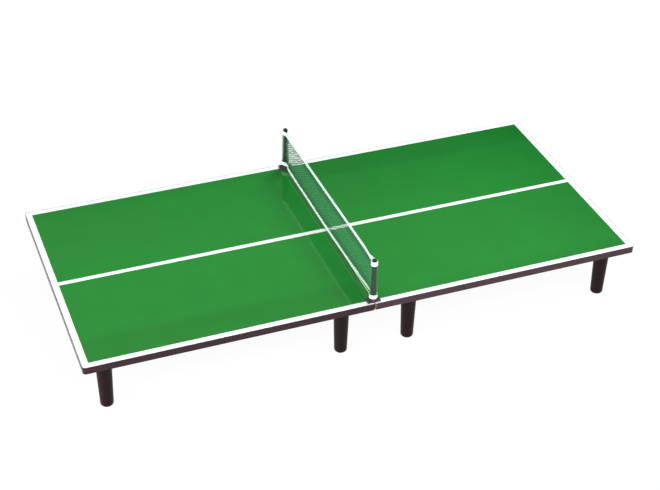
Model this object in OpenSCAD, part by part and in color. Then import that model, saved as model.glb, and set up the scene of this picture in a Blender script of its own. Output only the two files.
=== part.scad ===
// Tabletop table tennis table: two half boards on plug-in legs, hinged under
// the seam, with a net sleeved over two posts that plug into the seam.
// Millimetres. X runs along the table, Y across it, Z up. The origin is on the
// floor, under the middle of the table. "left" is -X and "near" is -Y.

/* [Tabletop] */
// Overall length of the two halves laid end to end
table_l = 880; // [760:10:1000]
// Overall width
table_w = 410; // [360:5:460]
// Height of the playing surface above the floor
table_h = 88; // [80:1:120]
// Thickness of the fibreboard core
core_t = 11; // [10:0.5:16]
// Thickness of the printed playing film
film_t = 0.5; // [0.4:0.1:1]
// Thickness of the edge band
band_t = 0.5; // [0.4:0.1:1]
// Distance that the right half's band stops short of the seam end
band_short = 1; // [0:0.25:2]
// Radius of the outer corners seen from above
corner_r = 5; // [3:0.5:9]
// Width of the gap between the two halves
seam_gap = 1.8; // [1.6:0.1:3]

/* [Court lines] */
// Width of the white line round the outer edge
border_w = 10; // [6:0.5:16]
// Width of the white line along the middle
centre_w = 8; // [4:0.5:16]
// Thickness of the printed line in the film
print_t = 0.2; // [0.1:0.05:0.3]

/* [Legs] */
// Diameter of a leg at its top
leg_top_d = 23.4; // [21:0.1:26]
// Diameter of a leg at its foot
leg_foot_d = 19.3; // [18:0.1:20]
// Radius round the foot
leg_foot_r = 4; // [1:0.25:4]
// Thickness of the plastic under a leg's hollow
leg_floor_t = 4; // [3:0.5:8]
// Wall of a leg round its hollow at the foot
leg_wall = 4.2; // [3.8:0.1:5]
// Number of ribs down the hollow
leg_ribs = 4; // [3:1:6]
// Thickness of a rib
leg_rib_t = 1.4; // [1:0.1:2]
// Distance from a leg's axis to the long edge of the table
leg_edge = 17; // [16:0.5:40]
// Distance from an outer leg's axis to the short edge
leg_end = 40; // [20:1:80]
// Distance from an inner leg's axis to the middle of the seam
leg_seam = 54.5; // [50:0.5:90]
// Distance that the left half's legs stand wider apart at each end, and the right half's closer
leg_shift = 7.5; // [0:0.5:9]

/* [Leg sockets] */
// Diameter of the flange between the board and a leg
flange_d = 28; // [26:0.5:31]
// Thickness of the flange
flange_t = 3.5; // [2.5:0.5:6]
// Radius round the rim of the flange
flange_r = 1.2; // [0.5:0.1:2]
// Diameter of the spigot that plugs into a leg
spigot_d = 14; // [13.5:0.5:15]
// Length of the spigot below the flange
spigot_l = 16; // [12:1:22]
// Wall of the spigot
spigot_wall = 1.6; // [1.2:0.1:2]
// Wall of the screw tube inside the spigot
tube_wall = 1.7; // [1.2:0.1:1.9]
// Thickness of the webs that hold the screw tube
web_t = 1.4; // [1:0.1:2]
// Number of webs
webs = 4; // [3:1:6]

/* [Hinges] */
// Length of a hinge along the seam
hinge_l = 40; // [34:1:60]
// Reach of a leaf from the pin's axis
leaf_w = 25; // [22:0.5:34]
// Thickness of a leaf
leaf_t = 1.2; // [1:0.1:1.6]
// Radius of the outer corners of a leaf
leaf_r = 3; // [1:0.5:4]
// Number of knuckles on a hinge
knuckles = 5; // [3:2:7]
// Diameter of the hinge pin
pin_d = 3; // [2.5:0.1:4]
// Diameter of the heads at the ends of the pin
pin_head_d = 4.6; // [4.2:0.1:5]
// Thickness of a pin head
pin_head_t = 0.8; // [0.5:0.1:1.5]
// Distance from the middle of the table to the middle of a hinge
hinge_y = 120; // [60:5:145]
// Distance from the pin's axis to the screws of a leaf
leaf_hole_x = 16; // [12:0.5:18]
// Distance between the two screws of a leaf
leaf_hole_pitch = 24; // [16:1:26]

/* [Screws] */
// Diameter of a leg screw
leg_screw_d = 4; // [3.5:0.1:4.5]
// Diameter of a leg screw's pan head
pan_d = 7.8; // [7.2:0.1:8.2]
// Height of the pan head
pan_h = 2.4; // [1.8:0.1:3]
// Depth that a leg screw bites into the board
leg_bite = 8; // [6:0.5:9]
// Diameter of a hinge screw
hinge_screw_d = 3; // [2.5:0.1:3.5]
// Depth that a hinge screw bites into the board
hinge_bite = 8; // [5:0.5:9]
// Length of a screw's point
point_l = 2.5; // [1.5:0.25:4]
// Width of the cross slot in a screw head
slot_w = 1; // [0.6:0.1:1.2]
// Depth of the cross slot
slot_deep = 0.8; // [0.4:0.1:1]

/* [Net posts] */
// Distance from a post's axis to the long edge of the table
post_edge = 8.9; // [8:0.1:14]
// Height of a post above the playing surface
post_h = 76; // [70:0.5:100]
// Diameter of a post where it leaves its collar
post_foot_d = 9.2; // [8.8:0.1:10.4]
// Diameter of a post under the ball at its tip
post_neck_d = 6.2; // [5:0.1:6.8]
// Diameter of the ball
ball_d = 7.2; // [7:0.1:9]
// Diameter of the peg under a post
peg_d = 7.6; // [6:0.1:8]
// Length of the peg
peg_l = 5; // [3:0.25:5.5]
// Length of the foot plate along the table
plate_l = 21; // [16:0.5:30]
// Width of the foot plate across the table
plate_w = 12; // [12:0.5:14]
// Thickness of the foot plate
plate_t = 2.5; // [1.5:0.25:4]
// Radius of the foot plate's corners
plate_r = 1.5; // [0.5:0.25:4]
// Diameter of the collar on the foot plate
collar_d = 11.6; // [11.2:0.1:12]
// Height of the collar above the playing surface
collar_h = 6.5; // [6:0.25:8]
// Depth that the tongue reaches into the seam
tongue_deep = 10; // [6:0.5:10.5]
// Width of the tongue across the table
tongue_w = 10; // [6:0.5:11]

/* [Net] */
// Height of the net's top edge above the playing surface
net_top = 72.5; // [62:0.5:73]
// Height of the top tape
top_tape_h = 7; // [6:0.5:14]
// Height of the bottom tape
bottom_tape_h = 6.3; // [4:0.1:9]
// Thickness of a tape where it is folded over the net
tape_t = 1.6; // [1.2:0.1:3]
// Wall of a tape's loop round a post
tape_wall = 1.3; // [1:0.1:2]
// Thickness of the netting
mesh_t = 0.8; // [0.6:0.1:1.2]
// Length in which the bottom edge climbs from the surface to its far loop
net_climb = 15; // [10:1:120]
// Number of straight stretches in the sag of the bottom edge behind the near loop
sag_steps = 12; // [8:1:20]
// Number of straight stretches in its climb to the far loop
climb_steps = 6; // [4:1:12]

/* [Fits] */
// Radial clearance of a spigot in its leg
plug_clear = 0.1; // [0.05:0.01:0.15]
// Depth left free past the end of a spigot or a peg
end_clear = 0.6; // [0.4:0.1:1]
// Radial clearance of a screw in plastic or steel
screw_clear = 0.15; // [0.1:0.05:0.25]
// Radial clearance of a screw's core in its pilot hole
pilot_clear = 0.05; // [0.02:0.01:0.1]
// Radial clearance of the pin in its knuckles
pin_clear = 0.05; // [0.02:0.01:0.1]
// Gap between neighbouring knuckles
knuckle_gap = 0.3; // [0.2:0.05:0.5]
// Gap between a barrel and the leaf notched round it
notch_clear = 0.5; // [0.4:0.1:0.8]
// Height that the leaves stand proud of the barrel
leaf_proud = 0.1; // [0.05:0.05:0.3]
// Radial clearance of a peg in its collar
peg_clear = 0.05; // [0.03:0.01:0.1]
// Clearance of a tongue from each side of the seam
tongue_clear = 0.3; // [0.2:0.05:0.4]
// Radial clearance of the net's loops round the foot of a post
loop_foot_clear = 0.7; // [0.3:0.05:1]
// Radial clearance of the loops round the ball
loop_top_clear = 0.35; // [0.25:0.05:0.5]
// Clearance of the net above the playing surface and the collars
net_clear = 0.3; // [0.2:0.05:0.5]

/* [Hidden] */
$fn = 72;
half_gap = seam_gap / 2;
half_l = table_l / 2;
half_w = table_w / 2;

// Sides and halves: name, sign of Y or X
SIDES = [["near", -1], ["far", 1]];
HALVES = [["left", -1], ["right", 1]];
// Rows of legs in a half: name, distance of their axes from the middle of the seam
function leg_rows(sign) =
    [["outer", half_l - leg_end - sign * leg_shift], ["inner", leg_seam + sign * leg_shift]];
leg_y = half_w - leg_edge;

// Levels above the floor
film_z = table_h - film_t;
under_z = film_z - core_t;
leg_l = under_z - flange_t;

// Legs and sockets
chamfer = 0.8;
leg_shoulder = 1.2;
leg_rib_h = 1.6;
leg_bore_r = spigot_d / 2 + plug_clear;
leg_bore_l = spigot_l + end_clear;
leg_lean = atan((leg_top_d - leg_foot_d) / 2 / leg_l);
foot_arc_x = leg_foot_d / 2 + leg_foot_r * (tan(leg_lean) - 1 / cos(leg_lean));
core_foot_r = leg_foot_d / 2 - leg_wall;
core_top_r = leg_bore_r - leg_shoulder;
screw_hole_r = leg_screw_d / 2 + screw_clear;
tube_r = screw_hole_r + tube_wall;
head_recess = pan_h + end_clear;
tube_l = flange_t + spigot_l - head_recess;

// Hinges
bore_r = pin_d / 2 + pin_clear;
barrel_r = bore_r + leaf_t;
pin_z = under_z - barrel_r - leaf_proud;
knuckle_pitch = hinge_l / knuckles;
sink_d = hinge_screw_d + 2 * leaf_t;

// Net and posts
post_y = half_w - post_edge;
ball_z = post_h - ball_d / 2;
neck_z = ball_z - sqrt(pow(ball_d / 2, 2) - pow(post_neck_d / 2, 2));
loop_foot_r = post_foot_d / 2 + loop_foot_clear;
loop_top_r = ball_d / 2 + loop_top_clear;
net_low = collar_h + net_clear;
mesh_top = net_top - top_tape_h;
taut_y = post_y - max(collar_d / 2, loop_foot_r + tape_wall) - 1;
tongue_t = seam_gap - 2 * tongue_clear;
tongue_tip = 1.2;

// ---- Helpers ----

// Draws its children, which stand in the right half, in the half of this sign
module in_half(sign) {
    mirror([sign < 0 ? 1 : 0, 0, 0]) children();
}

// Inner radius of the net's loops at a height above the playing surface
function loop_r(z) = loop_foot_r + (loop_top_r - loop_foot_r) * (z - collar_h) / (net_top - collar_h);

// Height of the net's bottom edge above the playing surface, at a place across the
// table: it sags from the near loop to the middle, lies there and climbs to the far loop
function net_edge(y) =
    net_clear + (net_low - net_clear) * pow(max(0, -y / taut_y, 1 - (taut_y - y) / net_climb), 2);

// Plan of the right half, this far in from its three outer edges; reach
// carries it on across the seam
module half_plan(inset = 0, reach = 0) {
    x0 = half_gap - reach;
    x1 = half_l - inset;
    y1 = half_w - inset;
    r = corner_r - inset;
    translate([x0, -y1]) square([x1 - r - x0, 2 * y1]);
    translate([x0, r - y1]) square([x1 - x0, 2 * (y1 - r)]);
    for (side = [-1, 1])
        translate([x1 - r, side * (y1 - r)]) circle(r = r);
}

// Plan of the green field between the lines of the right half
module field_plan() {
    field_w = half_w - border_w - centre_w / 2;
    for (side = [-1, 1])
        translate([half_gap, side * (centre_w + field_w) / 2 - field_w / 2])
            square([half_l - border_w - half_gap, field_w]);
}

// Rectangle with round corners, centred on the origin
module round_plate(l, w, r) {
    square([l - 2 * r, w], center = true);
    square([l, w - 2 * r], center = true);
    for (x = [-1, 1], y = [-1, 1])
        translate([x * (l / 2 - r), y * (w / 2 - r)]) circle(r = r);
}

// Cross slot cut into a screw head whose top is at the origin, facing down
module cross_slot(l) {
    for (a = [0, 90])
        rotate(a) translate([-l / 2, -slot_w / 2, -1]) cube([l, slot_w, slot_deep + 1]);
}

// Threaded stretch of a screw above the origin, with its point
module screw_shank(d, l) {
    cylinder(d = d, h = l - point_l);
    translate([0, 0, l - point_l]) cylinder(d1 = d, d2 = d / 4, h = point_l);
}

// Draws its children at the legs of the half of this sign, drawn as the right one
module at_legs(sign) {
    for (r = leg_rows(sign), s = SIDES)
        translate([r[1], s[1] * leg_y, 0]) children();
}

// Draws its children at the screws of the leaves of one half
module at_leaf_screws() {
    for (s = SIDES, side = [-1, 1])
        translate([leaf_hole_x, s[1] * hinge_y + side * leaf_hole_pitch / 2, 0]) children();
}

// ---- Boards ----

// Fibreboard core of a half, drilled from below for its screws
module panel(sign) {
    color("#3a2a26")
        in_half(sign) difference() {
            translate([0, 0, under_z]) linear_extrude(core_t) half_plan(band_t);
            translate([0, 0, under_z - 1]) {
                at_legs(sign) cylinder(r = leg_screw_d / 2 + pilot_clear, h = leg_bite + end_clear + 1);
                at_leaf_screws()
                    cylinder(r = hinge_screw_d / 2 + pilot_clear, h = hinge_bite + end_clear + 1);
            }
        }
}

// Plastic band round the three outer edges of a half, trimmed flush with the
// film; the seam end stays bare
module edge_band(sign) {
    color("#4a373e")
        in_half(sign) translate([0, 0, under_z]) linear_extrude(core_t + film_t) difference() {
            half_plan(reach = sign > 0 ? -band_short : 0);
            half_plan(band_t, 1);
        }
}

// Green film glued over the core, recessed where the lines are printed
module playing_film(sign) {
    color("#34903e")
        in_half(sign) {
            translate([0, 0, film_z]) linear_extrude(film_t - print_t) half_plan(band_t);
            translate([0, 0, table_h - print_t]) linear_extrude(print_t) field_plan();
        }
}

// White lines round the outer edges and along the middle, flush with the film
module court_lines(sign) {
    color("white")
        in_half(sign) translate([0, 0, table_h - print_t]) linear_extrude(print_t) difference() {
            half_plan(band_t);
            field_plan_open();
        }
}

// The green fields, carried on across the seam for a clean cut
module field_plan_open() {
    field_plan();
    translate([-1, 0]) field_plan();
}

// ---- Legs ----

// Moulded socket boss: a round flange under the board and a hollow spigot with a
// webbed screw tube, which plugs into the leg
module leg_boss(sign, x, side) {
    color("#2b2422")
        in_half(sign) translate([x, side * leg_y, under_z]) mirror([0, 0, 1]) difference() {
            union() {
                rotate_extrude() boss_profile();
                for (k = [0:webs - 1])
                    rotate(k * 360 / webs) translate([0, -web_t / 2, flange_t / 2])
                        cube([spigot_d / 2 - spigot_wall / 2, web_t, tube_l - flange_t / 2]);
            }
            translate([0, 0, -1]) cylinder(r = screw_hole_r, h = tube_l + 2);
        }
}

// Half section of a boss, with its face on the board at the origin and the
// spigot above it
module boss_profile() {
    flange_r0 = flange_d / 2 - flange_r;
    spigot_end = flange_t + spigot_l;
    square([flange_r0, flange_t]);
    square([flange_d / 2, flange_t - flange_r]);
    translate([flange_r0, flange_t - flange_r]) circle(r = flange_r);
    square([tube_r, tube_l]);
    polygon([
        [spigot_d / 2 - spigot_wall, 0],
        [spigot_d / 2, 0],
        [spigot_d / 2, spigot_end - chamfer],
        [spigot_d / 2 - chamfer, spigot_end],
        [spigot_d / 2 - spigot_wall, spigot_end]]);
}

// Moulded tapered leg: a socket at the top, a ribbed hollow below its shoulder
// and a round-edged closed foot
module leg(sign, x, side) {
    hollow_top = leg_l - leg_bore_l;
    color("#32262a")
        in_half(sign) translate([x, side * leg_y, 0]) {
            rotate_extrude() difference() {
                leg_outline();
                polygon([
                    [0, leg_floor_t],
                    [core_foot_r, leg_floor_t],
                    [core_top_r, hollow_top],
                    [0, hollow_top]]);
                translate([0, hollow_top - 0.01]) square([leg_bore_r, leg_bore_l + 1]);
            }
            intersection() {
                for (k = [0:leg_ribs - 1])
                    rotate(45 + k * 360 / leg_ribs) translate([0, -leg_rib_t / 2, leg_floor_t / 2])
                        cube([leg_foot_d / 2, leg_rib_t, hollow_top - leg_floor_t / 2 - end_clear]);
                rotate_extrude() difference() {
                    square([leg_foot_d / 2 - leg_wall / 2, leg_l]);
                    square([core_top_r - leg_rib_h, leg_l]);
                }
            }
        }
}

// Half section of a solid leg, its taper running into the round of the foot
module leg_outline() {
    polygon([
        [0, 0],
        [foot_arc_x, 0],
        [foot_arc_x + leg_foot_r * cos(leg_lean), leg_foot_r * (1 - sin(leg_lean))],
        [leg_top_d / 2, leg_l],
        [0, leg_l]]);
    translate([foot_arc_x, leg_foot_r]) circle(r = leg_foot_r);
}

// The pan-head screws that hold the bosses of one half
module leg_screws(sign) {
    color("silver")
        in_half(sign) at_legs(sign) translate([0, 0, under_z - tube_l]) difference() {
            union() {
                screw_shank(leg_screw_d, tube_l + leg_bite);
                translate([0, 0, -pan_h / 2]) cylinder(d = pan_d, h = pan_h / 2);
                translate([0, 0, -pan_h]) cylinder(d1 = pan_d * 0.7, d2 = pan_d, h = pan_h / 2);
            }
            translate([0, 0, -pan_h]) cross_slot(pan_d * 0.6);
        }
}

// ---- Hinges ----

// Rolled steel leaf under one half; its knuckles start at this one of the barrel
module hinge_leaf(sign, side, first) {
    plate_x0 = barrel_r + notch_clear;
    plate_cx = (plate_x0 + leaf_w) / 2;
    color("#b9bcc0")
        in_half(sign) translate([0, side * hinge_y, pin_z]) difference() {
            union() {
                translate([0, 0, barrel_r + leaf_proud - leaf_t]) linear_extrude(leaf_t) {
                    translate([plate_cx, 0]) round_plate(leaf_w - plate_x0, hinge_l, leaf_r);
                    translate([plate_x0, -hinge_l / 2]) square([leaf_r, hinge_l]);
                    for (k = [first:2:knuckles - 1])
                        translate([0, knuckle_y(k)])
                            square([plate_x0 + leaf_r, knuckle_pitch - knuckle_gap]);
                }
                for (k = [first:2:knuckles - 1])
                    translate([0, knuckle_y(k), 0]) rotate([-90, 0, 0])
                        cylinder(r = barrel_r, h = knuckle_pitch - knuckle_gap);
            }
            translate([0, -hinge_l / 2 - 1, 0]) rotate([-90, 0, 0]) cylinder(r = bore_r, h = hinge_l + 2);
            for (hole = [-1, 1])
                translate([leaf_hole_x, hole * leaf_hole_pitch / 2, barrel_r + leaf_proud - leaf_t])
                    countersink(screw_clear);
        }
}

// Start of a knuckle along the barrel, counted from the near end
function knuckle_y(k) = -hinge_l / 2 + k * knuckle_pitch + knuckle_gap / 2;

// Cone and shank of a countersunk screw through a leaf, grown by a clearance
module countersink(clear) {
    cylinder(d1 = sink_d + 2 * clear, d2 = hinge_screw_d + 2 * clear, h = leaf_t);
    cylinder(d = hinge_screw_d + 2 * clear, h = leaf_t + (clear > 0 ? 1 : 0));
}

// Headed pin through both leaves of a hinge
module hinge_pin(side) {
    color("#9a9da1")
        translate([0, side * hinge_y, pin_z]) rotate([-90, 0, 0]) {
            cylinder(d = pin_d, h = hinge_l + 2 * knuckle_gap, center = true);
            for (end = [-1, 1])
                translate([0, 0, end * (hinge_l / 2 + knuckle_gap + pin_head_t / 2)])
                    cylinder(d = pin_head_d, h = pin_head_t, center = true);
        }
}

// The countersunk screws of one half's leaves
module hinge_screws(sign) {
    color("silver")
        in_half(sign) at_leaf_screws() translate([0, 0, under_z - leaf_t]) difference() {
            union() {
                countersink(0);
                screw_shank(hinge_screw_d, leaf_t + hinge_bite);
            }
            cross_slot(hinge_screw_d);
        }
}

// ---- Net ----

// Foot plate across the seam, with the post's collar above it and a tongue below
module net_foot(side) {
    color("#2e2528")
        translate([0, side * post_y, table_h]) difference() {
            union() {
                linear_extrude(plate_t) round_plate(plate_l, plate_w, plate_r);
                cylinder(d = collar_d, h = collar_h);
                translate([0, tongue_w / 2, 0]) rotate([90, 0, 0]) linear_extrude(tongue_w) polygon([
                    [-tongue_t / 2, plate_t / 2],
                    [-tongue_t / 2, tongue_tip - tongue_deep],
                    [-tongue_t / 4, -tongue_deep],
                    [tongue_t / 4, -tongue_deep],
                    [tongue_t / 2, tongue_tip - tongue_deep],
                    [tongue_t / 2, plate_t / 2]]);
            }
            translate([0, 0, collar_h - peg_l - end_clear])
                cylinder(r = peg_d / 2 + peg_clear, h = peg_l + end_clear + 1);
        }
}

// Tapered post with a ball at its tip and a peg that stands in the collar
module net_post(side) {
    color("#2a2225")
        translate([0, side * post_y, table_h]) rotate_extrude() {
            translate([0, collar_h - peg_l]) square([peg_d / 2, peg_l + 1]);
            polygon([
                [0, collar_h],
                [post_foot_d / 2, collar_h],
                [post_neck_d / 2, neck_z],
                [0, neck_z]]);
            intersection() {
                translate([0, ball_z]) circle(d = ball_d);
                translate([0, neck_z - 1]) square(ball_d * 2);
            }
        }
}

// Tapered loop round each post between two heights above the playing surface
module post_loops(z0, z1, wall) {
    for (s = SIDES)
        translate([0, s[1] * post_y, table_h + z0])
            cylinder(r1 = loop_r(z0) + wall, r2 = loop_r(z1) + wall, h = z1 - z0);
}

// The room that the posts take inside the loops
module post_room(z0, z1) {
    for (s = SIDES)
        translate([0, s[1] * post_y, table_h + z0 - 1])
            cylinder(r1 = loop_r(z0 - 1), r2 = loop_r(z1 + 1), h = z1 - z0 + 2);
}

// Upright sheet in the plane of the seam, from one post's axis to the other's;
// outline holds its corners as distances across the table and heights
module net_sheet(outline, t) {
    translate([-t / 2, 0, table_h]) rotate([90, 0, 90]) linear_extrude(t) polygon(outline);
}

// Points along the bottom edge from the near post to the far one, this much
// higher than the edge
function sag_line(rise) = [
    [-post_y, net_low + rise],
    for (k = [0:sag_steps]) let (y = taut_y * (k / sag_steps - 1)) [y, net_edge(y) + rise],
    for (k = [0:climb_steps]) let (y = taut_y + net_climb * (k / climb_steps - 1))
        [y, net_edge(y) + rise],
    [post_y, net_low + rise]];

// Netting between the tapes, closed into a loop round each post
module net_mesh() {
    mesh_low = net_low + bottom_tape_h;
    color("#3f7f55")
        difference() {
            union() {
                post_loops(mesh_low, mesh_top, mesh_t);
                net_sheet(
                    concat(sag_line(bottom_tape_h), [[post_y, mesh_top], [-post_y, mesh_top]]),
                    mesh_t);
            }
            post_room(mesh_low, mesh_top);
        }
}

// White tape folded over the top of the netting and round the posts
module net_top_tape() {
    color("#f4f6f8")
        difference() {
            union() {
                post_loops(mesh_top, net_top, tape_wall);
                net_sheet(
                    [[-post_y, mesh_top], [post_y, mesh_top], [post_y, net_top], [-post_y, net_top]],
                    tape_t);
            }
            post_room(mesh_top, net_top);
        }
}

// White tape along the bottom of the netting, sagging to the surface
module net_bottom_tape() {
    upper = sag_line(bottom_tape_h);
    color("#f4f6f8")
        difference() {
            union() {
                post_loops(net_low, net_low + bottom_tape_h, tape_wall);
                net_sheet(concat(sag_line(0), [for (k = [len(upper) - 1:-1:0]) upper[k]]), tape_t);
            }
            post_room(net_low, net_low + bottom_tape_h);
        }
}

// ---- Parts ----

for (h = HALVES) {
    panel(h[1]);
    edge_band(h[1]);
    playing_film(h[1]);
    court_lines(h[1]);
    leg_screws(h[1]);
    hinge_screws(h[1]);
}
for (h = HALVES, r = leg_rows(h[1]), s = SIDES) {
    place = str(h[0], "_", r[0], "_", s[0]);
    leg_boss(h[1], r[1], s[1]);
    leg(h[1], r[1], s[1]);
}
for (s = SIDES) {
    hinge_leaf(-1, s[1], 0);
    hinge_leaf(1, s[1], 1);
    hinge_pin(s[1]);
    net_foot(s[1]);
    net_post(s[1]);
}
net_mesh();
net_top_tape();
net_bottom_tape();
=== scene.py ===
import math
import random

import bpy
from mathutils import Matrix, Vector
from mathutils.kdtree import KDTree


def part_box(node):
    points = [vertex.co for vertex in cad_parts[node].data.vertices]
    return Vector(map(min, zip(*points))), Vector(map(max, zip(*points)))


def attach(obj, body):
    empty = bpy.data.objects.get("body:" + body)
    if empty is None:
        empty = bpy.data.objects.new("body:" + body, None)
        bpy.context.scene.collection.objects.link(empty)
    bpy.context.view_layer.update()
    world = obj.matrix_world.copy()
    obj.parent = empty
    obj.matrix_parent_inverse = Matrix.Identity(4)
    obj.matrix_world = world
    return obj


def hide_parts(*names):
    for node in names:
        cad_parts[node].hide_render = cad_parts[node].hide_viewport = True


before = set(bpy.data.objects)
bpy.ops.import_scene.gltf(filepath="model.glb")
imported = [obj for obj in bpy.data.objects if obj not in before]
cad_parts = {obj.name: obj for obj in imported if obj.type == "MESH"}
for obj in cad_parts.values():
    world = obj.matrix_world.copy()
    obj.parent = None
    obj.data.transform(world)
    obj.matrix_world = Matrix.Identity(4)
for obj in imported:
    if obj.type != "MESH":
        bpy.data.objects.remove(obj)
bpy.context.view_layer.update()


# ---------------------------------------------------------------- camera
# A long lens looks down on the table from the near left, 2.3 m from its
# middle, so that the whole length shows with almost parallel edges.
scene = bpy.context.scene
camera_data = bpy.data.cameras.new("camera")
camera_data.lens = 80.08
camera_data.sensor_width = 36
camera = bpy.data.objects.new("camera", camera_data)
camera.location = (-0.6935, -1.7845, 1.4160)
camera.rotation_euler = [math.radians(angle) for angle in (54.646, -0.878, -20.799)]
scene.collection.objects.link(camera)
scene.camera = camera


# ---------------------------------------------------------------- studio
# A white studio, whose floor keeps a soft shadow. The gloss mirrors a sky that
# is pale low down, dark above it and pale again overhead. Soft lamps stand behind
# on the right (not mirrored), low on the left and close over the near edge.
scene.view_settings.view_transform = "Standard"
EVEN_SKY = 0.16
FLOOR_GLOW = 0.95
FLOOR_SIZE = 14
LAMP_AIM = Vector((0, 0, 0.1))


def link(tree, start, end):
    """Joins an output socket to an input socket."""
    tree.links.new(start, end)


def node(tree, kind, **values):
    """A shader node of this kind with these properties set."""
    made = tree.nodes.new(kind)
    for key, value in values.items():
        setattr(made, key, value)
    return made


def math_node(tree, operation, first, second=None):
    """The output of a Math node whose inputs are sockets or numbers."""
    made = node(tree, "ShaderNodeMath", operation=operation)
    for socket, value in zip(made.inputs, (first, second)):
        if value is None:
            continue
        if isinstance(value, bpy.types.NodeSocket):
            link(tree, value, socket)
        else:
            socket.default_value = value
    return made.outputs[0]


world = bpy.data.worlds.new("studio")
world.use_nodes = True
scene.world = world
sky = world.node_tree
sky.nodes.clear()
direction = node(sky, "ShaderNodeTexCoord")
parts = node(sky, "ShaderNodeSeparateXYZ")
link(sky, direction.outputs["Generated"], parts.inputs[0])
height = node(sky, "ShaderNodeValToRGB")
link(sky, parts.outputs["Z"], height.inputs["Fac"])
levels = height.color_ramp
levels.interpolation = "EASE"
levels.elements.remove(levels.elements[1])
levels.elements[0].position = 0.1
levels.elements[0].color = (0.8, 0.8, 0.8, 1)
for rise, tone in ((0.42, 0.112), (0.5, 0.08), (0.58, 0.48), (0.66, 0.72)):
    levels.elements.new(rise).color = (tone, tone, tone, 1)
paths = node(sky, "ShaderNodeLightPath")
bounced = (paths.outputs["Is Glossy Ray"], paths.outputs["Is Transmission Ray"])
mirrored = math_node(sky, "MAXIMUM", *bounced)
mirrored_light = math_node(sky, "MULTIPLY", mirrored, height.outputs[0])
plain = math_node(sky, "SUBTRACT", 1.0, mirrored)
plain_light = math_node(sky, "MULTIPLY", plain, EVEN_SKY)
lit = math_node(sky, "ADD", mirrored_light, plain_light)
seen = math_node(sky, "MAXIMUM", lit, paths.outputs["Is Camera Ray"])
backdrop = node(sky, "ShaderNodeBackground")
backdrop.inputs["Color"].default_value = (1, 1, 1, 1)
link(sky, seen, backdrop.inputs["Strength"])
link(sky, backdrop.outputs[0], node(sky, "ShaderNodeOutputWorld").inputs["Surface"])

for name, place, (length, width), watts in (
    ("main_lamp", (1.1, 1.0, 1.8), (0.8, 0.8), 67.0),
    ("fill_lamp", (-2.05, -0.75, 0.85), (1.6, 1.6), 76.0),
    ("near_lamp", (0.0, -0.75, 0.7), (1.8, 0.35), 14.0),
):
    lamp_data = bpy.data.lights.new(name, "AREA")
    lamp_data.shape = "RECTANGLE"
    lamp_data.size = length
    lamp_data.size_y = width
    lamp_data.energy = watts
    lamp = bpy.data.objects.new(name, lamp_data)
    lamp.location = place
    lamp.visible_glossy = name != "main_lamp"
    lamp.rotation_euler = (LAMP_AIM - lamp.location).to_track_quat("-Z", "Y").to_euler()
    scene.collection.objects.link(lamp)

bpy.ops.mesh.primitive_plane_add(size=FLOOR_SIZE)
floor = bpy.context.object
floor.name = "floor"
floor_paint = bpy.data.materials.new("floor_paint")
floor_paint.use_nodes = True
tree = floor_paint.node_tree
tree.nodes.clear()
chalk = node(tree, "ShaderNodeBsdfDiffuse")
chalk.inputs["Color"].default_value = (0.82, 0.82, 0.82, 1)
glow = node(tree, "ShaderNodeEmission")
paths = node(tree, "ShaderNodeLightPath")
looked_at = math_node(tree, "MAXIMUM", paths.outputs["Is Camera Ray"], paths.outputs["Is Glossy Ray"])
shown = math_node(tree, "MULTIPLY", looked_at, FLOOR_GLOW)
blend = node(tree, "ShaderNodeMixShader")
link(tree, shown, blend.inputs[0])
link(tree, chalk.outputs[0], blend.inputs[1])
link(tree, glow.outputs[0], blend.inputs[2])
link(tree, blend.outputs[0], node(tree, "ShaderNodeOutputMaterial").inputs["Surface"])
floor.data.materials.append(floor_paint)


# ---------------------------------------------------------------- board cores
# Each half is a slab of fibreboard 11 mm thick with brown paper glued on
# underneath. The green film is folded down over its end at the seam, so raw
# pale board shows only in the millimetre that the edge band stops short.
MM = 0.001


def surface_group():
    """Shader group: clouds in a colour and a roughness, and a fine grain to bump with."""
    group = bpy.data.node_groups.new("surface_life", "ShaderNodeTree")
    for name, kind in (
        ("Color", "NodeSocketColor"),
        ("Roughness", "NodeSocketFloat"),
        ("Clouds", "NodeSocketFloat"),
        ("Cloud Size", "NodeSocketFloat"),
        ("Grain Size", "NodeSocketFloat"),
    ):
        group.interface.new_socket(name, in_out="INPUT", socket_type=kind)
    for name, kind in (
        ("Color", "NodeSocketColor"),
        ("Roughness", "NodeSocketFloat"),
        ("Grain", "NodeSocketFloat"),
    ):
        group.interface.new_socket(name, in_out="OUTPUT", socket_type=kind)
    given = node(group, "NodeGroupInput")
    result = node(group, "NodeGroupOutput")
    place = node(group, "ShaderNodeTexCoord")
    noises = []
    for size in ("Cloud Size", "Grain Size"):
        noise = node(group, "ShaderNodeTexNoise")
        noise.inputs["Detail"].default_value = 3
        link(group, place.outputs["Object"], noise.inputs["Vector"])
        link(group, math_node(group, "DIVIDE", 1.0, given.outputs[size]), noise.inputs["Scale"])
        noises.append(noise.outputs["Fac"])
    centred = math_node(group, "SUBTRACT", noises[0], 0.5)
    swing = math_node(group, "MULTIPLY", centred, given.outputs["Clouds"])
    tint = node(group, "ShaderNodeHueSaturation")
    link(group, given.outputs["Color"], tint.inputs["Color"])
    link(group, math_node(group, "ADD", swing, 1.0), tint.inputs["Value"])
    link(group, tint.outputs[0], result.inputs["Color"])
    rough = math_node(group, "MULTIPLY", given.outputs["Roughness"], math_node(group, "ADD", swing, 1.0))
    link(group, rough, result.inputs["Roughness"])
    link(group, noises[1], result.inputs["Grain"])
    return group


surface_life = surface_group()


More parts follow.
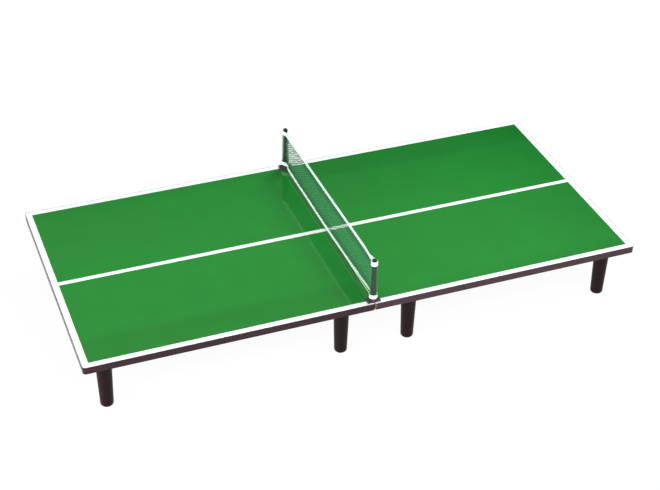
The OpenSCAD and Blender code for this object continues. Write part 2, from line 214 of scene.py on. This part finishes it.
def material(name, color, roughness, clouds, cloud_size, grain_size, grain_depth, **sockets):
    """A Principled material over the group surface_life, whose node is called life."""
    made = bpy.data.materials.new(name)
    made.use_nodes = True
    tree = made.node_tree
    shader = tree.nodes["Principled BSDF"]
    life = node(tree, "ShaderNodeGroup", node_tree=surface_life, name="life")
    life.inputs["Color"].default_value = (*color, 1)
    life.inputs["Roughness"].default_value = roughness
    life.inputs["Clouds"].default_value = clouds
    life.inputs["Cloud Size"].default_value = cloud_size
    life.inputs["Grain Size"].default_value = grain_size
    bump = node(tree, "ShaderNodeBump")
    bump.inputs["Distance"].default_value = grain_depth
    link(tree, life.outputs["Color"], shader.inputs["Base Color"])
    link(tree, life.outputs["Roughness"], shader.inputs["Roughness"])
    link(tree, life.outputs["Grain"], bump.inputs["Height"])
    link(tree, bump.outputs[0], shader.inputs["Normal"])
    for socket, value in sockets.items():
        shader.inputs[socket.replace("_", " ")].default_value = value
    return made


def dress(name, finish):
    """Gives a node of the frame this finish."""
    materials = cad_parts[name].data.materials
    materials.clear()
    materials.append(finish)


def mix_color(tree, share, color, second):
    """A colour output mixed with a second colour by a share that a socket gives."""
    mix = node(tree, "ShaderNodeMix", data_type="RGBA")
    link(tree, share, mix.inputs["Factor"])
    link(tree, color, mix.inputs["A"])
    mix.inputs["B"].default_value = (*second, 1)
    return mix.outputs["Result"]


def own_place(tree):
    """The x, y and z of a point, in the table's own coordinates."""
    parts = node(tree, "ShaderNodeSeparateXYZ")
    link(tree, node(tree, "ShaderNodeTexCoord").outputs["Object"], parts.inputs[0])
    return parts.outputs


BROWN_PAPER = (0.075, 0.046, 0.034)
FOLDED_FILM = (0.03, 0.14, 0.045)
COVER_T = 0.05 * MM  # depth to which a face of the core takes its cover's colour
core_low, core_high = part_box("panel_right")
fibreboard = material(
    "fibreboard", (0.26, 0.18, 0.115), roughness=0.85, clouds=0.35, cloud_size=1.2 * MM,
    grain_size=0.5 * MM, grain_depth=0.12 * MM, Specular_IOR_Level=0.2,
)
tree = fibreboard.node_tree
at = own_place(tree)
from_seam = math_node(tree, "ABSOLUTE", at["X"])
board_color = tree.nodes["life"].outputs["Color"]
for distance, face, color in ((at["Z"], core_low.z, BROWN_PAPER), (from_seam, core_low.x, FOLDED_FILM)):
    covered = math_node(tree, "LESS_THAN", distance, face + COVER_T)
    board_color = mix_color(tree, covered, board_color, color)
link(tree, board_color, tree.nodes["Principled BSDF"].inputs["Base Color"])
for half in ("left", "right"):
    dress(f"panel_{half}", fibreboard)


# ---------------------------------------------------------------- edge bands
# A strip of dark purple-brown plastic half a millimetre thick is ironed
# round the three outer edges of each half. It is satin with a faint grain.
# The right half's strip is painted a shade paler: painted light, as more
# light falls on that half.
# the right half's paler colour is painted light; the strips are one plastic
for half, color in (("left", (0.021, 0.0095, 0.012)), ("right", (0.036, 0.018, 0.025))):
    edge_strip = material(
        f"edge_strip_{half}", color, roughness=0.42, clouds=0.12, cloud_size=30 * MM,
        grain_size=0.4 * MM, grain_depth=0.03 * MM,
        Specular_IOR_Level=0.15, Sheen_Weight=0.3, Sheen_Roughness=0.3,
    )
    dress(f"edge_band_{half}", edge_strip)


# ---------------------------------------------------------------- playing film
# Glossy, slightly rippled plastic film covers each half. Its green print has
# faint clouds. Painted shade darkens it towards the rims, most in the band that
# would carry the words. It ends at the seam in an olive strip on the left; on
# the right, a painted highlight marks the fold.
GREEN = (0.004, 0.129, 0.0148)
OLIVE = (0.012, 0.108, 0.016)
OLIVE_EDGE = (0.028, 0.145, 0.034)
# colour of the painted highlight on the right half's fold at the seam
FOLD_HIGHLIGHT = (0.36, 0.52, 0.33)
FILM_GLOSS = {"roughness": 0.09, "cloud_size": 45 * MM, "grain_size": 5 * MM, "grain_depth": 0.02 * MM}
STRIP_W = 7 * MM  # the olive strip, from the seam
STRIP_LINE = 1.6 * MM  # its lighter edge
# half the width of that painted highlight
FOLD_HIGHLIGHT_W = 0.8 * MM
SHADE_BAND = 60 * MM  # depth of the band of painted shade, at the left half's near edge and the right half's far one
SHADE_BAND_FADE = 20 * MM  # width over which the band's painted shade sets in
SHADE_START = 20 * MM  # the painted shade starts this far from the middle, on the band's side
SHADE_RIM = 45 * MM  # depth of the lighter painted shade along the rim on the other side
SHADE_RIM_END = 10 * MM  # that painted shade is at its darkest this far from the edge
END_SHADE = 150 * MM  # depth of the painted shade at the right end
green_film = material("green_film", GREEN, clouds=0.18, **FILM_GLOSS, Specular_Tint=(0.68, 1.0, 0.35, 1))
tree = green_film.node_tree
at = own_place(tree)
to_shade_band = math_node(tree, "MULTIPLY", at["Y"], math_node(tree, "SIGN", at["X"]))
shade = 1.0
# Painted shade: these fades darken the print in a band on one side of each half, along the rim on the
# other side and towards the right end.
for distance, start, end, darkest in (
    (to_shade_band, core_high.y - SHADE_BAND - SHADE_BAND_FADE / 2, core_high.y - SHADE_BAND + SHADE_BAND_FADE / 2, 0.87),
    (to_shade_band, SHADE_START, core_high.y - SHADE_BAND, 0.93),
    (to_shade_band, SHADE_RIM - core_high.y, SHADE_RIM_END - core_high.y, 0.93),
    (at["X"], core_high.x - END_SHADE, core_high.x, 0.88),
):
    fade = node(tree, "ShaderNodeMapRange", interpolation_type="SMOOTHSTEP")
    link(tree, distance, fade.inputs["Value"])
    for socket, value in (("From Min", start), ("From Max", end), ("To Min", 1.0), ("To Max", darkest)):
        fade.inputs[socket].default_value = value
    shade = math_node(tree, "MULTIPLY", fade.outputs["Result"], shade)
shaded = node(tree, "ShaderNodeVectorMath", operation="SCALE")
link(tree, tree.nodes["life"].outputs["Color"], shaded.inputs[0])
link(tree, shade, shaded.inputs["Scale"])
print_and_painted_light = shaded.outputs[0]
# The olive strip and its lighter edge at the left; the pale line on the right half's fold is a painted
# highlight, where the fold catches the light.
for middle, reach, color in (
    (-core_low.x - STRIP_W / 2, STRIP_W / 2, OLIVE),
    (-core_low.x - STRIP_W, STRIP_LINE / 2, OLIVE_EDGE),
    (core_low.x, FOLD_HIGHLIGHT_W, FOLD_HIGHLIGHT),
):
    from_middle = math_node(tree, "ABSOLUTE", math_node(tree, "SUBTRACT", at["X"], middle))
    print_and_painted_light = mix_color(tree, math_node(tree, "LESS_THAN", from_middle, reach), print_and_painted_light, color)
link(tree, print_and_painted_light, tree.nodes["Principled BSDF"].inputs["Base Color"])
for half in ("left", "right"):
    dress(f"playing_film_{half}", green_film)


# ---------------------------------------------------------------- court lines
# The white lines are printed in the film, so they share its gloss and
# ripple. They run round the outer edges and along the middle.
white_print = material("white_print", (0.53, 0.58, 0.555), clouds=0.03, **FILM_GLOSS)
for half in ("left", "right"):
    dress(f"court_lines_{half}", white_print)


# ---------------------------------------------------------------- legs
# Eight tapered legs of dark brown plastic, moulded hollow with a socket at
# the top. The mould gives them a fine satin texture.
leg_plastic = material(
    "leg_plastic", (0.009, 0.0035, 0.004), roughness=0.45, clouds=0.2, cloud_size=12 * MM,
    grain_size=0.35 * MM, grain_depth=0.02 * MM, Specular_IOR_Level=0.1,
)
leg_rows = [f"{half}_{row}" for half in ("left", "right") for row in ("outer", "inner")]
leg_places = [f"{row}_{side}" for row in leg_rows for side in ("near", "far")]
for place in leg_places:
    dress(f"leg_{place}", leg_plastic)


# ---------------------------------------------------------------- leg sockets
# Under each corner a moulded boss is screwed to the board. Its flange shows
# above the leg as a dark rim, and its spigot plugs into the leg. One zinc
# plated screw goes up through each boss.
boss_plastic = material(
    "boss_plastic", (0.010, 0.005, 0.0055), roughness=0.5, clouds=0.2, cloud_size=10 * MM,
    grain_size=0.3 * MM, grain_depth=0.02 * MM, Specular_IOR_Level=0.1,
)
zinc = material(
    "zinc", (0.62, 0.61, 0.56), roughness=0.28, clouds=0.25, cloud_size=1.5 * MM,
    grain_size=0.2 * MM, grain_depth=0.01 * MM, Metallic=1.0,
)
for place in leg_places:
    dress(f"leg_boss_{place}", boss_plastic)
for half in ("left", "right"):
    dress(f"leg_screws_{half}", zinc)
    dress(f"hinge_screws_{half}", zinc)


# ---------------------------------------------------------------- hinges
# Two butt hinges of zinc-plated steel sheet join the halves under the seam.
# Their leaves are rolled round pins of drawn wire, and screwed to the boards.
hinge_steel = material(
    "hinge_steel", (0.56, 0.56, 0.57), roughness=0.34, clouds=0.3, cloud_size=4 * MM,
    grain_size=0.25 * MM, grain_depth=0.01 * MM, Metallic=1.0,
)
for side in ("near", "far"):
    for piece in ("leaf_left", "leaf_right", "pin"):
        dress(f"hinge_{side}_{piece}", hinge_steel)


# ---------------------------------------------------------------- net posts
# Two tapered posts of dark plastic with ball tips stand in feet that bridge
# the seam. They are moulded smoother than the legs.
MOULDED = {"clouds": 0.15, "cloud_size": 8 * MM, "grain_size": 0.4 * MM, "grain_depth": 0.01 * MM}
foot_plastic = material(
    "foot_plastic", (0.038, 0.022, 0.03), roughness=0.28, **MOULDED, Specular_IOR_Level=0.4
)
post_plastic = material(
    "post_plastic", (0.008, 0.005, 0.006), roughness=0.35, **MOULDED, Specular_IOR_Level=0.2
)
for side in ("near", "far"):
    dress(f"net_foot_{side}", foot_plastic)
    dress(f"net_post_{side}", post_plastic)


# ---------------------------------------------------------------- netting
# Thin green nylon cord is knotted by hand into uneven diamonds. The rows next
# to the tapes are painted darker, as the tapes' shadow. Each end of the strip
# goes round its post and is sewn back onto itself as a sleeve, whose cords take
# the same dark colour and carry paler knots.
post_low, post_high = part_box("net_post_far")
mesh_low, mesh_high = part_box("net_mesh")
bottom_tape_low, bottom_tape_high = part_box("net_bottom_tape")
top_tape_low, top_tape_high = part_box("net_top_tape")
post_y = (post_low.y + post_high.y) / 2
top_tape_h = top_tape_high.z - top_tape_low.z
bottom_tape_h = mesh_low.z - bottom_tape_low.z
sag = bottom_tape_high.z - mesh_low.z
loop_low_r = bottom_tape_high.y - post_y
loop_top_r = top_tape_high.y - post_y

CLOTH_IN = 0.55 * MM  # from a loop's outside to the middle of the cloth
SEAM_BACK = 9 * MM  # from a post's axis to where its loop is sewn shut
TAIL = 6 * MM  # cloth past that seam
TAIL_X = 1.05 * MM  # the tail lies this far to the right of the sheet
HELD_UP = 1 * MM  # the bottom edge is at its full height this far before a loop
CLIMB = 15 * MM  # length in which the bottom edge climbs to its far loop
SKEW = 1.6 * MM  # the top edge leaves the far post this far to the left, the near one to the right
NEAR_EASE = 50 * MM  # length in which the near end of the top edge comes back over its post
taut_y = post_y - loop_low_r - HELD_UP


def loop_radius(z):
    """Radius of the cloth's middle round a post at a height."""
    up = (z - bottom_tape_low.z - sag) / (mesh_high.z - bottom_tape_low.z - sag)
    return loop_low_r + (loop_top_r - loop_low_r) * up - CLOTH_IN


def loop_parts(radius):
    """Angle of the sheet's spread to a post, and the lengths of a loop's straight and round parts."""
    spread = math.asin(radius / SEAM_BACK)
    return spread, SEAM_BACK * math.cos(spread), radius * (math.pi + 2 * spread)


straight = post_y - SEAM_BACK
_, side_l, round_l = loop_parts(loop_radius((mesh_low.z + mesh_high.z) / 2))
cloth_l = 2 * (straight + 2 * side_l + round_l + TAIL)


def cloth_at(along, z):
    """The cloth's middle and its outward direction at a distance from its near end and a height."""
    far = 1 if along > cloth_l / 2 else -1
    out = abs(along - cloth_l / 2) - straight
    radius = loop_radius(z)
    spread, side_now, _ = loop_parts(radius)
    if out <= 0:
        x, y, facing = 0.0, straight + out, math.pi
    elif out <= side_l:
        gone = out / side_l * side_now
        x, y, facing = -gone * math.sin(spread), straight + gone * math.cos(spread), math.pi - spread
    elif out <= side_l + round_l:
        facing = math.pi + spread - (out - side_l) / round_l * (math.pi + 2 * spread)
        x, y = radius * math.cos(facing), post_y + radius * math.sin(facing)
    elif out <= 2 * side_l + round_l:
        left = (2 * side_l + round_l - out) / side_l * side_now
        x, y, facing = left * math.sin(spread), straight + left * math.cos(spread), spread
        x += TAIL_X * (1 - left / side_now)
    else:
        x, y, facing = TAIL_X, straight - (out - 2 * side_l - round_l), 0.0
    up = min(1.0, max(0.0, (z - mesh_low.z) / (mesh_high.z - mesh_low.z)))
    ease = SEAM_BACK if far > 0 else NEAR_EASE
    x -= far * SKEW * up * min(y / straight, max(0.0, post_y - y) / ease)
    return Vector((x, far * y, z)), Vector((math.cos(facing), far * math.sin(facing), 0))


def bottom_edge(y):
    """Height of the cloth's bottom edge: it sags from the near loop, lies and climbs to the far one."""
    return bottom_tape_low.z + sag * min(1.0, max(0.0, -y / taut_y, 1 - (taut_y - y) / CLIMB)) ** 2


def select_only(piece):
    """Makes a piece the only selected object and the active one."""
    bpy.ops.object.select_all(action="DESELECT")
    piece.select_set(True)
    bpy.context.view_layer.objects.active = piece


def cord_mesh(name, lines, radius):
    """One mesh of square cords along lines of (place, share of the radius)."""
    curve = bpy.data.curves.new(name, "CURVE")
    curve.dimensions = "3D"
    curve.bevel_depth = radius
    curve.bevel_resolution = 0
    curve.use_fill_caps = True
    for line in lines:
        spline = curve.splines.new("POLY")
        spline.points.add(len(line) - 1)
        for point, (place, share) in zip(spline.points, line):
            point.co = (*place, 1)
            point.radius = share
    made = bpy.data.objects.new(name, curve)
    scene.collection.objects.link(made)
    select_only(made)
    bpy.ops.object.convert(target="MESH")
    made = bpy.context.object
    bpy.ops.object.shade_smooth()
    return made


CELL_W = 6.4 * MM
CELL_H = 4 * MM
CORD_R = 0.17 * MM
KNOT_R = 0.65 * MM
KNOT_L = 1.3 * MM  # length over which a cord swells and thins again at a knot
KNOT_REACH = 0.715 * MM  # a knot's colour reaches this far from its middle
UNEVEN = 0.8 * MM  # how far, at most, a knot sits from its even place
SLEEVE_CALM = 0.1  # share of UNEVEN on a sleeve
SLEEVE_KNOT = 0.45  # share of a knot's length on a sleeve
KNOT_ASIDE = 0.02  # each cord keeps this share of half a cell's width from its knot's middle
TAPE_SHADOW_DEPTH = 16 * MM  # depth of the painted shadow of the tapes on the netting, from a tape's edge
SLEEVE_START = 1 * MM  # the darker cords of a sleeve start this far past its seam
HIDDEN = 2.5 * MM  # netting sewn inside each tape
net_h = mesh_high.z - mesh_low.z + 2 * HIDDEN
steps = 2 * round(net_h / CELL_H)  # half cells up the strip
knot_part = KNOT_L / CELL_H  # half a knot's length, as a share of half a cell
columns = int(cloth_l / (CELL_W / 2)) - 1  # zigzag cords side by side
hand = random.Random(5)
slips = []  # how far the hand puts each knot along and up from its even place
for column in range(columns + 1):
    slips.append([])
    for step in range(steps + 1):
        slips[column].append((hand.uniform(-UNEVEN, UNEVEN), hand.uniform(-UNEVEN, UNEVEN)))
lines = []
for column in range(columns):
    line = []
    for step in range(steps + 1):
        right = (column + step) % 2
        slip_along, slip_up = slips[column + right][step]
        on_sleeve = abs((column + right + 0.5) * CELL_W / 2 - cloth_l / 2) > straight
        calm, tight = (SLEEVE_CALM, SLEEVE_KNOT) if on_sleeve else (1.0, 1.0)
        for part, share in ((-knot_part * tight, 1.0), (0, KNOT_R / CORD_R), (knot_part * tight, 1.0)):
            aside = abs(part) if right == 0 else 1 - abs(part)
            aside += KNOT_ASIDE if right == 0 else -KNOT_ASIDE
            along = (column + aside + 0.5) * CELL_W / 2 + slip_along * calm
            y = cloth_at(along, mesh_low.z)[0].y
            low = bottom_edge(y) + bottom_tape_h - HIDDEN
            high = mesh_high.z + HIDDEN
            z = low + (high - low) * (step + part) / steps + slip_up * calm
            line.append((cloth_at(along, z)[0], share))
    lines.append(line[1:-1])
netting = cord_mesh("netting", lines, CORD_R)
knots = [Vector(point) for line in lines for point, share in line if share > 1]
tree_of_knots = KDTree(len(knots))
for number, knot in enumerate(knots):
    tree_of_knots.insert(knot, number)
tree_of_knots.balance()
tape_shadow_and_sleeve = netting.data.attributes.new("tape_shadow_and_sleeve", "FLOAT", "POINT")
by_knot = netting.data.attributes.new("by_knot", "FLOAT", "POINT")
sleeve_knot = netting.data.attributes.new("sleeve_knot", "FLOAT", "POINT")
values = zip(netting.data.vertices, tape_shadow_and_sleeve.data, by_knot.data, sleeve_knot.data)
for vertex, shadow_or_sleeve, near_knot, pale_knot in values:
    # Painted shadow of the tapes: 1 at a tape's edge, fading to 0 over the depth set above; every cord of
    # a sleeve also gets 1.
    above = vertex.co.z - bottom_edge(vertex.co.y) - bottom_tape_h
    shadow_or_sleeve.value = 1 - min(1.0, max(0.0, min(above, mesh_high.z - vertex.co.z) / TAPE_SHADOW_DEPTH))
    near_knot.value = tree_of_knots.find(vertex.co)[2] < KNOT_REACH
    if abs(vertex.co.y) > straight + SLEEVE_START:
        shadow_or_sleeve.value = 1
        pale_knot.value = near_knot.value
nylon = material(
    "nylon", (0.018, 0.158, 0.052), roughness=0.5, clouds=0.4, cloud_size=2 * MM,
    grain_size=0.25 * MM, grain_depth=0.02 * MM,
    Specular_IOR_Level=0.25, Sheen_Weight=0.04, Sheen_Roughness=0.4,
)
tree = nylon.node_tree
dye = tree.nodes["life"].outputs["Color"]
for name, color in (
    ("by_knot", (0.038, 0.15, 0.085)),
    # the dark colour of the painted tape shadow, which the sleeves' cords take too
    ("tape_shadow_and_sleeve", (0.006, 0.04, 0.014)),
    ("sleeve_knot", (0.06, 0.145, 0.085)),
):
    share = node(tree, "ShaderNodeAttribute", attribute_name=name)
    dye = mix_color(tree, share.outputs["Fac"], dye, color)
link(tree, dye, tree.nodes["Principled BSDF"].inputs["Base Color"])
netting.data.materials.append(nylon)
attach(netting, "net")
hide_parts("net_mesh")


# ---------------------------------------------------------------- tapes
# White woven tape is folded over the top and the bottom of the netting and
# sewn through near its edges with white thread. It goes round the posts with
# the netting.
TAPE_T = 0.24 * MM
TAPE_GAP = 0.16 * MM  # half the gap between the two layers
LEAN = 1.3 * MM  # the bottom tape's fold swings this far to the right behind the near post
TOP_LEAN = -0.8 * MM  # the top tape's fold leans to the left
PATH_STEP = 1.2 * MM
SEW_IN = 1.6 * MM  # from a tape's open edge to its stitches
SEW_BELOW = 0.7 * MM  # rows of the outline on both sides of the stitches
SEW_ABOVE = 2.6 * MM
MIDDLE = 0.55  # share of the height of the outline's middle row
PRESS = 0.1 * MM  # the stitches press the outside in by this, and the inside a little less
INNER_PRESS = 0.06 * MM
WEAVE = 500  # scale of the wave pattern, about one thread in 0.6 mm
WEAVE_DEPTH = 0.06 * MM


def tape_profile(height):
    """Closed outline of a folded tape as (side, up from its open edge), fold at the top."""
    fold = TAPE_GAP + TAPE_T
    rises = [0, SEW_BELOW, SEW_IN, SEW_ABOVE, MIDDLE * height, height - fold]
    turns = [math.radians(angle) for angle in (30, 60, 90)]

    def layer(half, press):
        swell = [-press if up == SEW_IN else (press / 2 if up > SEW_IN else 0) for up in rises]
        edge = [(half + more, up) for more, up in zip(swell, rises)]
        edge += [(half * math.cos(turn), height - fold + half * math.sin(turn)) for turn in turns]
        return edge + [(-side, up) for side, up in reversed(edge[:-1])]

    return layer(fold, PRESS) + layer(TAPE_GAP, INNER_PRESS)[::-1]


def tape(name, height, fold_at):
    """A folded tape along the cloth; fold_at gives the height and swing of its outline's points."""
    outline = tape_profile(height)
    count = len(outline)
    stations = int(cloth_l / PATH_STEP)
    around = [0.0]
    for (side, up), (next_side, next_up) in zip(outline, outline[1:] + outline[:1]):
        around.append(around[-1] + math.hypot(next_side - side, next_up - up))
    points, faces, lengths = [], [], []
    for station in range(stations + 1):
        along = cloth_l * station / stations
        y = cloth_at(along, mesh_low.z)[0].y
        for side, up in outline:
            z, swing = fold_at(y, up)
            middle, outward = cloth_at(along, z)
            points.append(middle + outward * side + Vector((swing, 0, 0)))
    for station in range(stations):
        start, end = (cloth_l * number / stations for number in (station, station + 1))
        for k in range(count):
            a, b, after = station * count, (station + 1) * count, (k + 1) % count
            faces.append((a + k, b + k, b + after, a + after))
            lengths += [(start, around[k]), (end, around[k]), (end, around[k + 1]), (start, around[k + 1])]
    faces += [tuple(range(count)), tuple(reversed(range(stations * count, (stations + 1) * count)))]
    lengths += [(0, 0)] * (2 * count)
    mesh = bpy.data.meshes.new(name)
    mesh.from_pydata(points, [], faces)
    layer = mesh.uv_layers.new(name="cloth")
    for loop, length in zip(layer.data, lengths):
        loop.uv = length
    made = bpy.data.objects.new(name, mesh)
    scene.collection.objects.link(made)
    select_only(made)
    bpy.ops.object.mode_set(mode="EDIT")
    bpy.ops.mesh.select_all(action="SELECT")
    bpy.ops.mesh.normals_make_consistent(inside=False)
    bpy.ops.object.mode_set(mode="OBJECT")
    bpy.ops.object.shade_smooth()
    return made


def top_fold(y, up):
    """Height and swing of a point of the top tape, this far up from its open edge."""
    share = max(0.0, min(1.0, (straight - abs(y)) / SEAM_BACK))
    return top_tape_low.z + up, TOP_LEAN * share * up / top_tape_h


def bottom_fold(y, down):
    """Height and swing of a point of the bottom tape, this far down from its open edge."""
    share = max(0.0, min(-y / post_y, (straight + y) / SEAM_BACK))
    return bottom_edge(y) + bottom_tape_h - down, LEAN * share * down / bottom_tape_h


top_tape = tape("top_tape", top_tape_h, top_fold)
bottom_tape = tape("bottom_tape", bottom_tape_h, bottom_fold)
woven_tape = material(
    "woven_tape", (0.53, 0.69, 0.61), roughness=0.8, clouds=0.06, cloud_size=6 * MM,
    grain_size=0.2 * MM, grain_depth=0.02 * MM, Sheen_Weight=0.2,
)
tree = woven_tape.node_tree
lengths = node(tree, "ShaderNodeUVMap", uv_map="cloth")
threads = []
for direction in ("X", "Y"):
    wave = node(tree, "ShaderNodeTexWave", bands_direction=direction)
    wave.inputs["Scale"].default_value = WEAVE
    link(tree, lengths.outputs[0], wave.inputs["Vector"])
    threads.append(wave.outputs["Fac"])
weave = node(tree, "ShaderNodeBump")
weave.inputs["Distance"].default_value = WEAVE_DEPTH
link(tree, math_node(tree, "MAXIMUM", *threads), weave.inputs["Height"])
link(tree, weave.outputs[0], tree.nodes["Principled BSDF"].inputs["Normal"])
for piece, solid in ((top_tape, "net_top_tape"), (bottom_tape, "net_bottom_tape")):
    piece.data.materials.append(woven_tape)
    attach(piece, "net")
    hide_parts(solid)


# ---------------------------------------------------------------- stitching
# A lockstitch of white thread holds each tape to the netting, 1.6 mm from the
# tape's open edge.
STITCH = 2.4 * MM  # from one stitch to the next
THREAD_R = 0.12 * MM
THREAD_IN = 0.12 * MM  # a stitch's ends lie this far under the tape's face
THREAD_LIFT = 0.1 * MM  # its middle is lifted by this from there
STITCH_SHAPE = ((0.1, 0, 0.5), (0.3, 1, 1.0), (0.7, 1, 1.0), (0.9, 0, 0.5))  # along, lift, thickness


def stitch_row(fold_at):
    """Stitches along both faces of a tape; fold_at gives the height and swing of its points."""
    stitches = []
    for number in range(1, int(cloth_l / STITCH) - 1):
        for face in (-1, 1):
            line = []
            for part, lift, share in STITCH_SHAPE:
                along = (number + part) * STITCH
                z, swing = fold_at(cloth_at(along, mesh_low.z)[0].y, SEW_IN)
                middle, outward = cloth_at(along, z)
                side = TAPE_GAP + TAPE_T - THREAD_IN + lift * THREAD_LIFT
                line.append((middle + outward * side * face + Vector((swing, 0, 0)), share))
            stitches.append(line)
    return stitches


stitches = cord_mesh("stitches", stitch_row(top_fold) + stitch_row(bottom_fold), THREAD_R)
thread = material(
    "thread", (0.55, 0.64, 0.59), roughness=0.7, clouds=0.1, cloud_size=2 * MM,
    grain_size=0.1 * MM, grain_depth=0.01 * MM,
)
stitches.data.materials.append(thread)
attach(stitches, "net")
